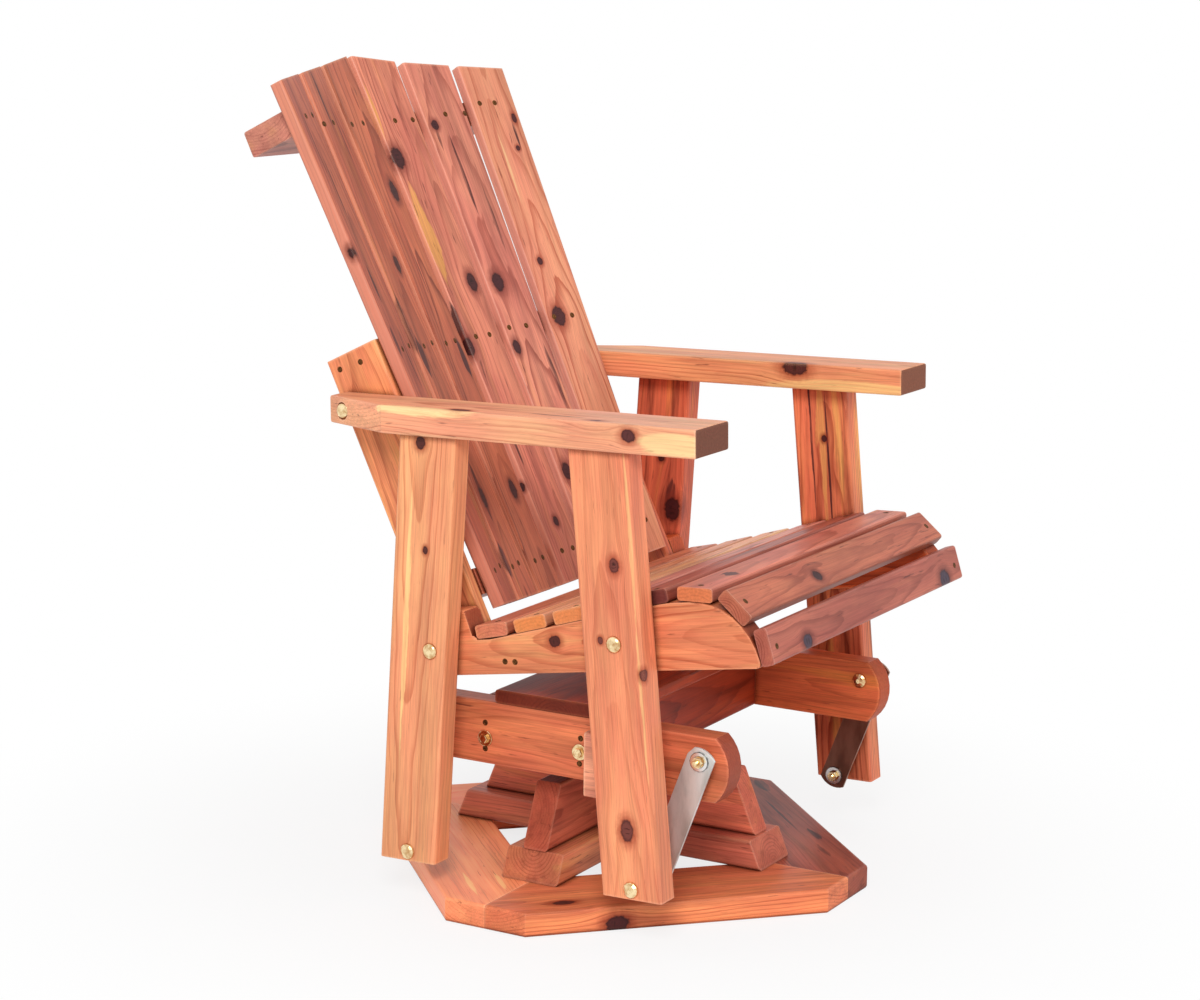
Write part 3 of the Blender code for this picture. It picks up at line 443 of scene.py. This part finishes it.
board("stop_block_near", ROSE, seed=15, tone=(1.15, 1.35, 1.3), contrast=0.5, heart=0.2)
board("stop_block_far", ROSE, seed=16, contrast=0.4, heart=0.1)
board("foot_across", ORANGE, seed=17, tone=(0.85, 0.9, 1.1), contrast=0.55, heart=0.6, sap=0.4, depth=0.028,
      thirst=0.3)
board("foot_fore_aft", RUSSET, seed=18, tone=(1.2, 1.3, 1.5), contrast=0.6, heart=0.6, depth=0.028,
      thirst=0.5)
board("pedestal_across", RUSSET, seed=19, tone=(0.9, 0.75, 0.75), contrast=0.5, heart=0.5, thirst=0.4)
board("pedestal_fore_aft", RUSSET, seed=20, tone=(1.4, 1.3, 1.4), contrast=0.5, heart=0.5, sap=0.4,
      thirst=0.4)
board("ring_board_1", RUSSET, seed=21, tone=(0.7, 0.6, 0.65), contrast=0.7, heart=0.7, ends=(176, 94, 62),
      **RING_BOARD,
      marks=(((0.2000, -0.2130, 0.0345), 0.100, 0.0025), ((0.1500, -0.2850, 0.0345), 0.030, 0.008),
             ((0.3300, -0.1100, 0.0345), 0.035, 0.010), ((0.0900, -0.3300, 0.0345), 0.030, 0.005)))
board("ring_board_2", SALMON, seed=22, tone=(1.7, 1.5, 1.45), contrast=0.5, heart=0.3, ends=(196, 104, 68),
      **RING_BOARD)
board("ring_board_3", SALMON, seed=23, tone=(1.35, 1.35, 1.3), contrast=0.5, heart=0.3, ends=(196, 104, 68),
      **RING_BOARD,
      streaks=(((-0.3000, 0.0200, 0.0345), 0.05, 0.004), ((-0.2700, -0.0100, 0.0345), 0.04, 0.004)))
board("ring_board_4", ORANGE, seed=24, tone=(1.05, 1, 1.1), contrast=0.6, heart=0.45, ends=(196, 104, 68),
      **RING_BOARD,
      knots=(((-0.2748, -0.1981, 0.0100), 0.015, 0.010), ((-0.3000, -0.1300, 0.0345), 0.014, 0.007)))
board("back_slat_far_1", SALMON, seed=25, tone=(0.85, 0.9, 1.1), contrast=0.75, heart=0.22, **BACK_SLAT,
      knots=(((0.2044, 0.1855, 0.7544), 0.014, 0.0105), ((0.2100, 0.2229, 0.8347), 0.006, 0.0045),
             ((0.2524, 0.2891, 0.9995), 0.004, 0.0035), ((0.2674, 0.3057, 1.0437), 0.007, 0.004)),
      streaks=(((0.2200, 0.2780, 0.975), 0.07, 0.004),),
      marks=(((0.2600, 0.3000, 1.020), 0.03, 0.003),))
board("back_slat_far_2", ROSE, seed=26, tone=(0.95, 0.95, 1), contrast=0.75, heart=0.5, **BACK_SLAT,
      knots=(((0.1168, 0.2392, 0.8104), 0.013, 0.0095), ((0.1035, 0.1973, 0.7178), 0.010, 0.006),
             ((0.1040, 0.1098, 0.5397), 0.012, 0.008), ((0.1168, 0.3508, 1.0380), 0.007, 0.006)),
      marks=(((0.1333, 0.3100, 0.9646), 0.070, 0.0030), ((0.1572, 0.2720, 0.9008), 0.060, 0.0025),
             ((0.1539, 0.1598, 0.6683), 0.060, 0.0050), ((0.1168, 0.3508, 1.0200), 0.030, 0.0040)))
board("back_slat_far_3", ROSE, seed=27, tone=(0.95, 0.9, 0.9), contrast=0.75, heart=0.38, **BACK_SLAT,
      knots=(((0.0162, 0.3492, 0.9945), 0.015, 0.0105), ((0.0656, 0.2522, 0.8143), 0.013, 0.0085),
             ((0.0067, 0.2195, 0.7270), 0.013, 0.008), ((0.0067, 0.1279, 0.5291), 0.006, 0.005),
             ((0.0397, 0.0897, 0.4773), 0.007, 0.005)),
      streaks=(((0.0160, 0.2950, 0.8850), 0.085, 0.013), ((0.0080, 0.3800, 1.0600), 0.050, 0.003)),
      marks=(((0.0060, 0.2300, 0.7500), 0.050, 0.003), ((0.0200, 0.1500, 0.6000), 0.050, 0.004)))
board("back_slat_near_3", RUSSET, seed=28, tone=(0.95, 0.95, 0.9), contrast=0.85, heart=0.38, **BACK_SLAT,
      knots=(((-0.0299, 0.3252, 0.9505), 0.014, 0.0085), ((-0.0337, 0.1182, 0.5335), 0.013, 0.008)),
      marks=(((-0.0221, 0.2096, 0.7150), 0.035, 0.007), ((-0.0500, 0.2800, 0.8600), 0.070, 0.002)))
board("back_slat_near_2", RUSSET, seed=29, tone=(0.9, 0.85, 0.8), contrast=0.85, heart=0.4, sap=0.3,
      **BACK_SLAT,
      knots=(((-0.1165, 0.2616, 0.8561), 0.012, 0.007), ((-0.1408, 0.1012, 0.5408), 0.014, 0.007)),
      marks=(((-0.1688, 0.2096, 0.7785), 0.050, 0.010), ((-0.1550, 0.1900, 0.7350), 0.035, 0.010),
             ((-0.1408, 0.1012, 0.5508), 0.050, 0.007), ((-0.1508, 0.0583, 0.4573), 0.030, 0.009),
             ((-0.1534, 0.3661, 1.0911), 0.050, 0.0025), ((-0.1298, 0.3489, 1.0418), 0.060, 0.0025)))
board("back_slat_near_1", RUSSET, seed=30, tone=(0.85, 0.8, 0.8), contrast=0.85, heart=0.4, sap=0.3,
      **BACK_SLAT,
      knots=(((-0.2650, 0.2351, 0.8860), 0.009, 0.005),),
      marks=(((-0.2395, 0.2161, 0.8421), 0.030, 0.004), ((-0.2447, 0.1766, 0.7655), 0.026, 0.007),
             ((-0.2550, 0.3100, 1.0300), 0.070, 0.002), ((-0.2400, 0.2800, 0.9700), 0.060, 0.002),
             ((-0.2150, 0.1800, 0.7400), 0.050, 0.006)))
board("back_upright_near", ORANGE, seed=31, tone=(1.05, 1.2, 1.35), contrast=0.5, heart=0.25, sap=0.4)
board("back_upright_far", RUSSET, seed=32, tone=(1.5, 1.4, 1.2))
board("back_rail_top", ROSE, seed=33, tone=(0.85, 0.95, 1.05), heart=0.4, thirst=0.1)
board("back_rail_middle", RUSSET, seed=34, heart=0.5)
board("back_rail_bottom", RUSSET, seed=35, heart=0.5)
board("seat_slat_1", RUSSET, seed=36, tone=(1.25, 1.5, 1.5), heart=0.35, thirst=0.2, **SEAT_SLAT)
board("seat_slat_2", SALMON, seed=37, tone=(1.15, 1.45, 1.6), heart=0.3, sap=0.6, thirst=0.9,
      ends=(210, 110, 54), **SEAT_SLAT)
board("seat_slat_3", SALMON, seed=38, tone=(1.25, 1.75, 1.9), heart=0.4, sap=0.5, thirst=0.9,
      ends=(200, 98, 50), **SEAT_SLAT)
board("seat_slat_4", ROSE, seed=39, tone=(1.05, 1.15, 1.35), heart=0.35, thirst=0.5, **SEAT_SLAT)
board("seat_slat_5", RUSSET, seed=40, tone=(0.75, 0.65, 0.75), contrast=0.8, heart=0.5, thirst=0.9,
      ends=(112, 56, 50), **SEAT_SLAT)
board("seat_slat_6", ROSE, seed=41, tone=(1.05, 0.95, 1), heart=0.3, sap=0.3, thirst=0.9,
      ends=(206, 120, 70), **SEAT_SLAT,
      marks=(((-0.2050, -0.3250, 0.4920), 0.014, 0.012),))
board("seat_slat_lip", RUSSET, seed=42, tone=(0.85, 0.9, 0.95), contrast=0.85, heart=0.12, sap=0.1,
      ring=0.0036, depth=0.03, taper=0.02, thirst=0.4, **SEAT_SLAT,
      knots=(((-0.0850, -0.3920, 0.4760), 0.009, 0.007),))
board("seat_slat_apron", RUSSET, seed=43, tone=(0.8, 0.8, 1), contrast=0.85, heart=0.15, ring=0.0038,
      depth=0.035, taper=0.02, thirst=0.4, pupil=(70, 62, 74),
      knots=(((-0.2029, -0.4373, 0.4170), 0.011, 0.0085), ((0.2449, -0.4378, 0.4155), 0.014, 0.012)))

# Sanded corners round the ends of the boards that show them most
SANDED_WIDTH = 0.0022
SANDED_STEPS = 3
SHARP_CORNER = radians(55)
WELD_REACH = 0.00001


def soften(name):
    """Modifiers on top of a board's solid, which joins its split corners first."""
    nodes[name].modifiers.new("joined", "WELD").merge_threshold = WELD_REACH
    bevel = nodes[name].modifiers.new("sanded", "BEVEL")
    bevel.width = SANDED_WIDTH
    bevel.segments = SANDED_STEPS
    bevel.limit_method = "ANGLE"
    bevel.angle_limit = SHARP_CORNER


soften("seat_slat_lip")
soften("seat_slat_apron")
for number in range(1, 7):
    soften(f"seat_slat_{number}")
for side in SIDES.values():
    soften("leg_front_" + side)
    soften("leg_rear_" + side)
    soften("arm_" + side)


# Metal: a pivot's washer by its distance from the chair's middle, then radii about the bolt's own axis
UPPER_WASHER = 0.2785
LOWER_WASHER = 0.2725
WASHER_REACH = 0.0022
NUT_RADIUS = 0.0076
# The washer is full silver at this radius and painted darker towards both rims, as painted shade
BRIGHT_RADIUS = 0.0104
# Rolling lines: their stretch on a link, their speed beside that of the blotches, and their depth
LINK_STRETCH = (1.0, 3.0, 1.0)
LINE_SPEED = 8.0
LINE_RELIEF = 0.0002


def metal(name, colour, second, rough, scale, blotch=0.5, stretch=(1.0, 1.0, 1.0), scratch=0.0, metallic=1.0):
    """Plated steel: two tones in soft blotches, with fine rolling lines."""
    material, net, shader = new_material(name)
    spot = net.here()
    cloud = net.fade(net.stretched(spot, stretch, 4.0, scale=scale), 0.35, 0.68, 0.0, blotch)
    lines = net.stretched(spot, tuple(LINE_SPEED * value for value in stretch), 2.0, scale=scale)
    bump = net.node("ShaderNodeBump", {"Strength": 0.12 + scratch, "Distance": LINE_RELIEF, "Height": lines})
    net.fill(shader, {"Base Color": net.mix(cloud, colour, second), "Metallic": metallic, "Normal": bump,
                      "Roughness": net.math("ADD", net.math("MULTIPLY", lines, 0.22), rough)})
    return material


# Yellow zinc: its darker blotches are partly the plating's own tint and partly painted reflection
GOLD = metal("gold_zinc", srgb(255, 232, 184), srgb(198, 148, 92), rough=0.08, scale=110.0, blotch=0.9,
             scratch=-0.11)
SILVER = metal("bright_zinc", srgb(226, 226, 226), srgb(176, 174, 172), rough=0.18, scale=150.0, blotch=0.7,
               scratch=-0.08)
LINK = metal("link_zinc", srgb(226, 228, 226), srgb(178, 178, 172), rough=0.28, scale=12.0, blotch=0.8,
             stretch=LINK_STRETCH, scratch=0.02, metallic=0.72)
# Far links: the near links' zinc, darkened to brown as painted shade and painted reflection of wood
SHADED_LINK = metal("link_painted_shade", srgb(166, 128, 110), srgb(118, 84, 70), rough=0.28, scale=12.0, blotch=0.8,
               stretch=LINK_STRETCH, scratch=0.05)
BLACK = metal("plate_black", srgb(34, 32, 32), srgb(22, 20, 20), rough=0.38, scale=60.0)


def pivot_metal(name, washer_x):
    """Yellow zinc bolt and nut with a silver washer, picked out by place; painted shade at the washer's rims.
    """
    material = GOLD.copy()
    material.name = "metal_" + name
    net = Net(material.node_tree)
    shader = material.node_tree.nodes["Principled BSDF"]
    centre = middle_of(nodes[name])
    x, y, z = net.split(net.vector("SUBTRACT", net.here(), centre))
    out = net.vector("LENGTH", net.join(0.0, y, z), out=1)
    at_washer = net.math("COMPARE", net.math("ADD", x, centre.x), washer_x, WASHER_REACH)
    mask = net.math("MULTIPLY", at_washer, net.math("GREATER_THAN", out, NUT_RADIUS))
    gold = shader.inputs["Base Color"].links[0].from_socket
    off_bright = net.math("ABSOLUTE", net.math("SUBTRACT", out, BRIGHT_RADIUS))
    silver = net.mix(net.fade(off_bright, 0.0014, 0.0030), srgb(232, 232, 230), srgb(92, 88, 84))
    net.fill(shader, {"Base Color": net.mix(mask, gold, silver)})
    paint(nodes[name], material)


for sign, side in SIDES.items():
    for end in ("front", "rear"):
        pivot_metal(f"upper_pivot_{end}_{side}", sign * UPPER_WASHER)
        pivot_metal(f"lower_pivot_{end}_{side}", sign * LOWER_WASHER)
        # Near links get the zinc, far links its copy with painted shade
        paint(nodes[f"link_{end}_{side}"], LINK if side == "near" else SHADED_LINK)
paint(nodes["swivel_lower_plate"], BLACK)
paint(nodes["swivel_upper_plate"], BLACK)
paint(nodes["swivel_ball_ring"], SILVER)


# Small fasteners: revolved heads set on the wood
def wood_shadow():
    material, net, shader = new_material("countersink")
    colour = net.mix(net.noise(net.here(), 900.0, 2.0), srgb(46, 20, 15), srgb(92, 42, 28))
    net.fill(shader, {"Base Color": colour, "Roughness": 0.8})
    return material


SINK = wood_shadow()
SCREW = metal("screw_gold", srgb(126, 84, 48), srgb(44, 24, 16), rough=0.42, scale=700.0, blotch=1.0)
# Profiles from rim to tip: radius, height above the wood, and place in the list of materials
DOME = ((0.0112, 0.0, 0), (0.0110, 0.0012, 0), (0.0096, 0.0028, 0), (0.0070, 0.0042, 0), (0.0036, 0.0049, 0),
        (0.0, 0.0050, 0))
COUNTERSUNK = ((0.0042, 0.00005, 1), (0.0040, 0.00025, 1), (0.0031, 0.00018, 1), (0.0029, 0.00040, 0),
               (0.0019, 0.00040, 0), (0.0016, 0.00012, 1), (0.0, 0.00012, 1))
WASHER = ((0.0112, 0.0, 1), (0.0112, 0.0013, 1), (0.0106, 0.0016, 1), (0.0, 0.0016, 1))
HEX = ((0.0066, 0.0016, 0), (0.0068, 0.0052, 0), (0.0062, 0.0062, 0), (0.0052, 0.0065, 0), (0.0, 0.0065, 0))
# What a head is made of: its profiles, each with its number of sides
BOLT_HEAD = ((DOME, 20),)
LAG_HEAD = ((WASHER, 20), (HEX, 6))
SCREW_HEAD = ((COUNTERSUNK, 12),)


def revolve(bm, profile, place, sides):
    rows = []
    for radius, rise, _ in profile:
        angles = [2 * pi * i / sides for i in range(sides)] if radius else [0.0]
        points = [Vector((radius * cos(angle), radius * sin(angle), rise)) for angle in angles]
        rows.append([bm.verts.new(place @ point) for point in points])
    bm.faces.new(list(reversed(rows[0]))).material_index = profile[0][2]
    for low, high, (_, _, slot) in zip(rows, rows[1:], profile[1:]):
        for i in range(sides):
            j = (i + 1) % sides
            corners = (low[i], low[j], high[0]) if len(high) == 1 else (low[i], low[j], high[j], high[i])
            bm.faces.new(corners).material_index = slot


def fasteners(name, body, spots, parts, materials):
    """Heads at (point, outward direction) spots, as one piece that rides on a body."""
    bm = bmesh.new()
    for point, outward in spots:
        place = Matrix.Translation(point) @ outward.to_track_quat("Z", "Y").to_matrix().to_4x4()
        for profile, sides in parts:
            revolve(bm, profile, place, sides)
    mesh = bpy.data.meshes.new(name)
    bmesh.ops.recalc_face_normals(bm, faces=bm.faces)
    bm.to_mesh(mesh)
    bm.free()
    obj = bpy.data.objects.new(name, mesh)
    bpy.context.scene.collection.objects.link(obj)
    paint(obj, *materials)
    for face in mesh.polygons:
        face.use_smooth = parts is BOLT_HEAD
    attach(obj, body)


def on_surface(name, start, way):
    """Where a line meets a board, with the direction out of its surface."""
    hit, point, normal, _ = nodes[name].ray_cast(Vector(start), Vector(way).normalized())
    if not hit:
        raise ValueError(f"no wood of {name} at {start}")
    return point, normal


# The seat's own axes at rest: where they start, and how they tip
SEAT_AT = Vector((0.0, -0.08247, 0.08421))
SEAT_TIP = Matrix.Rotation(-0.02147, 3, "X")


def in_seat(point):
    return SEAT_AT + SEAT_TIP @ Vector(point)


def both_sides(rows, placed=Vector):
    """Spots on the outer faces of a near and a far board; a row is the board, then a point outside it."""
    spots = []
    for sign, side in SIDES.items():
        for name, x, y, z in rows:
            spots.append(on_surface(name + side, placed((sign * x, y, z)), (-sign, 0, 0)))
    return spots


CARRIAGE_BOLTS = (("leg_front_", 0.40, -0.1525, 0.3265), ("leg_rear_", 0.40, 0.1325, 0.2858),
                  ("arm_", 0.40, 0.2840, 0.5986))
LAG_BOLTS = (("glider_rail_", 0.30, 0.0235, 0.2303), ("glider_rail_", 0.30, -0.1267, 0.2330))
RAIL_SCREWS = (("glider_rail_", 0.268, 0.0236, 0.2523), ("glider_rail_", 0.268, 0.0235, 0.2155),
               ("glider_rail_", 0.268, -0.1282, 0.2524), ("glider_rail_", 0.268, -0.1268, 0.2169))
FRAME_SCREWS = (("seat_rail_", 0.3080, -0.0394, 0.3579), ("seat_rail_", 0.3080, -0.0551, 0.3593),
                ("back_upright_", 0.2760, 0.2538, 0.7242), ("back_upright_", 0.2760, 0.2196, 0.7374))
# Two screws through each back slat into each rail: distances from the middle, and level
BACK_ROWS = (
    ((0.0410, 0.0777, 1.0470), (0.1440, 0.1810, 1.0530), (0.2154, 0.2430, 1.0670)),
    ((0.0280, 0.0580, 0.7400), (0.1035, 0.1371, 0.7460), (0.1952, 0.2284, 0.7540)),
    ((0.0270, 0.0530, 0.4375), (0.1080, 0.1334, 0.4450), (0.1825, 0.2119, 0.4565)))
IN_FRONT_OF_BACK = -0.5
SEAT_SCREW_X = 0.2870
AWAY_FROM_SEAT = 0.2

fasteners("carriage_bolt_heads", "seat", both_sides(CARRIAGE_BOLTS, in_seat), BOLT_HEAD, (GOLD,))
fasteners("lag_bolt_heads", "glider_frame", both_sides(LAG_BOLTS), LAG_HEAD, (GOLD, SILVER))
fasteners("rail_screws", "glider_frame", both_sides(RAIL_SCREWS), SCREW_HEAD, (SCREW, SINK))

spots = []
for row in BACK_ROWS:
    for number, (inner, outer, level) in enumerate(row):
        for sign, side in SIDES.items():
            for reach in (inner, outer):
                slat = f"back_slat_{side}_{3 - number}"
                spots.append(on_surface(slat, (sign * reach, IN_FRONT_OF_BACK, level), (0, 1, 0)))
fasteners("back_screws", "seat", spots, SCREW_HEAD, (SCREW, SINK))

spots = []
for number in range(1, 7):
    middle = middle_of(nodes[f"seat_slat_{number}"])
    for sign in SIDES:
        start = (sign * SEAT_SCREW_X, middle.y, middle.z + AWAY_FROM_SEAT)
        spots.append(on_surface(f"seat_slat_{number}", start, (0, 0, -1)))
for name, way in (("seat_slat_lip", (0, 0.7, -0.7)), ("seat_slat_apron", (0, 1, 0))):
    middle = middle_of(nodes[name])
    for sign in SIDES:
        start = Vector((sign * SEAT_SCREW_X, middle.y, middle.z)) - Vector(way) * AWAY_FROM_SEAT
        spots.append(on_surface(name, start, way))
fasteners("seat_screws", "seat", spots, SCREW_HEAD, (SCREW, SINK))
fasteners("frame_screws", "seat", both_sides(FRAME_SCREWS), SCREW_HEAD, (SCREW, SINK))

# Floor and light: shades are shares of full white, lengths are in metres
FLOOR_SIZE = 40.0
SHADOW_RADIUS = 0.35
WHITE_RADIUS = 1.1
SHADOW_WHITE = 0.80
WORLD_LIGHT = 0.56
LIT_POINT = Vector((0.0, 0.0, 0.5))


def white_floor():
    """Matte white that a camera, gloss or glass ray sees as white, and that keeps shadows."""
    material, net, _ = new_material("floor_white")
    matte = net.node("ShaderNodeBsdfDiffuse", {"Color": (0.9, 0.9, 0.9, 1.0)})
    glow = net.node("ShaderNodeEmission", {"Strength": 1.0})
    white = net.fade(net.vector("LENGTH", net.here(), out=1), SHADOW_RADIUS, WHITE_RADIUS, SHADOW_WHITE, 1.0)
    surface = net.node("ShaderNodeMixShader", {0: net.math("MULTIPLY", net.seen(), white), 1: matte, 2: glow})
    net.fill(net.tree.nodes["Material Output"], {"Surface": surface})
    return material


def lamp(name, place, size, power):
    data = bpy.data.lights.new(name, "AREA")
    data.shape = "DISK"
    data.size = size
    data.energy = power
    obj = bpy.data.objects.new(name, data)
    bpy.context.scene.collection.objects.link(obj)
    obj.location = place
    obj.rotation_euler = (LIT_POINT - Vector(place)).to_track_quat("-Z", "Y").to_euler()


bpy.ops.mesh.primitive_plane_add(size=FLOOR_SIZE, location=(0.0, 0.0, 0.0))
floor = bpy.context.object
floor.name = "floor"
paint(floor, white_floor())

world = bpy.data.worlds.new("studio")
bpy.context.scene.world = world
world.use_nodes = True
net = Net(world.node_tree)
light = net.fade(net.seen(), 0.0, 1.0, WORLD_LIGHT, 1.0)
net.fill(world.node_tree.nodes["Background"], {"Color": (1.0, 1.0, 1.0, 1.0), "Strength": light})
lamp("key", (-4.0, -2.0, 3.3), size=1.8, power=160.0)
lamp("fill", (1.8, -4.4, 2.2), size=2.6, power=32.0)

# Camera, fitted to the photograph
CAMERA_AT = (-3.3771, -1.9541, 1.2757)
HEADING = radians(29.967)
PITCH = radians(10.898)
ROLL = radians(0.579)
FOCAL_PIXELS = 2782.3
PHOTO_WIDTH = 1200
SENSOR_WIDTH = 36.0

forward = Vector((cos(HEADING) * cos(PITCH), sin(HEADING) * cos(PITCH), -sin(PITCH)))
level_right = Vector((sin(HEADING), -cos(HEADING), 0.0))
level_up = level_right.cross(forward)
right = level_right * cos(ROLL) + level_up * sin(ROLL)
up = level_up * cos(ROLL) - level_right * sin(ROLL)
lens = bpy.data.cameras.new("camera")
lens.sensor_width = SENSOR_WIDTH
lens.lens = FOCAL_PIXELS / PHOTO_WIDTH * SENSOR_WIDTH
camera = bpy.data.objects.new("camera", lens)
bpy.context.scene.collection.objects.link(camera)
turn = Matrix((right, up, -forward)).transposed()
camera.matrix_world = Matrix.Translation(CAMERA_AT) @ turn.to_4x4()
bpy.context.scene.camera = camera
bpy.context.scene.view_settings.view_transform = "Standard"
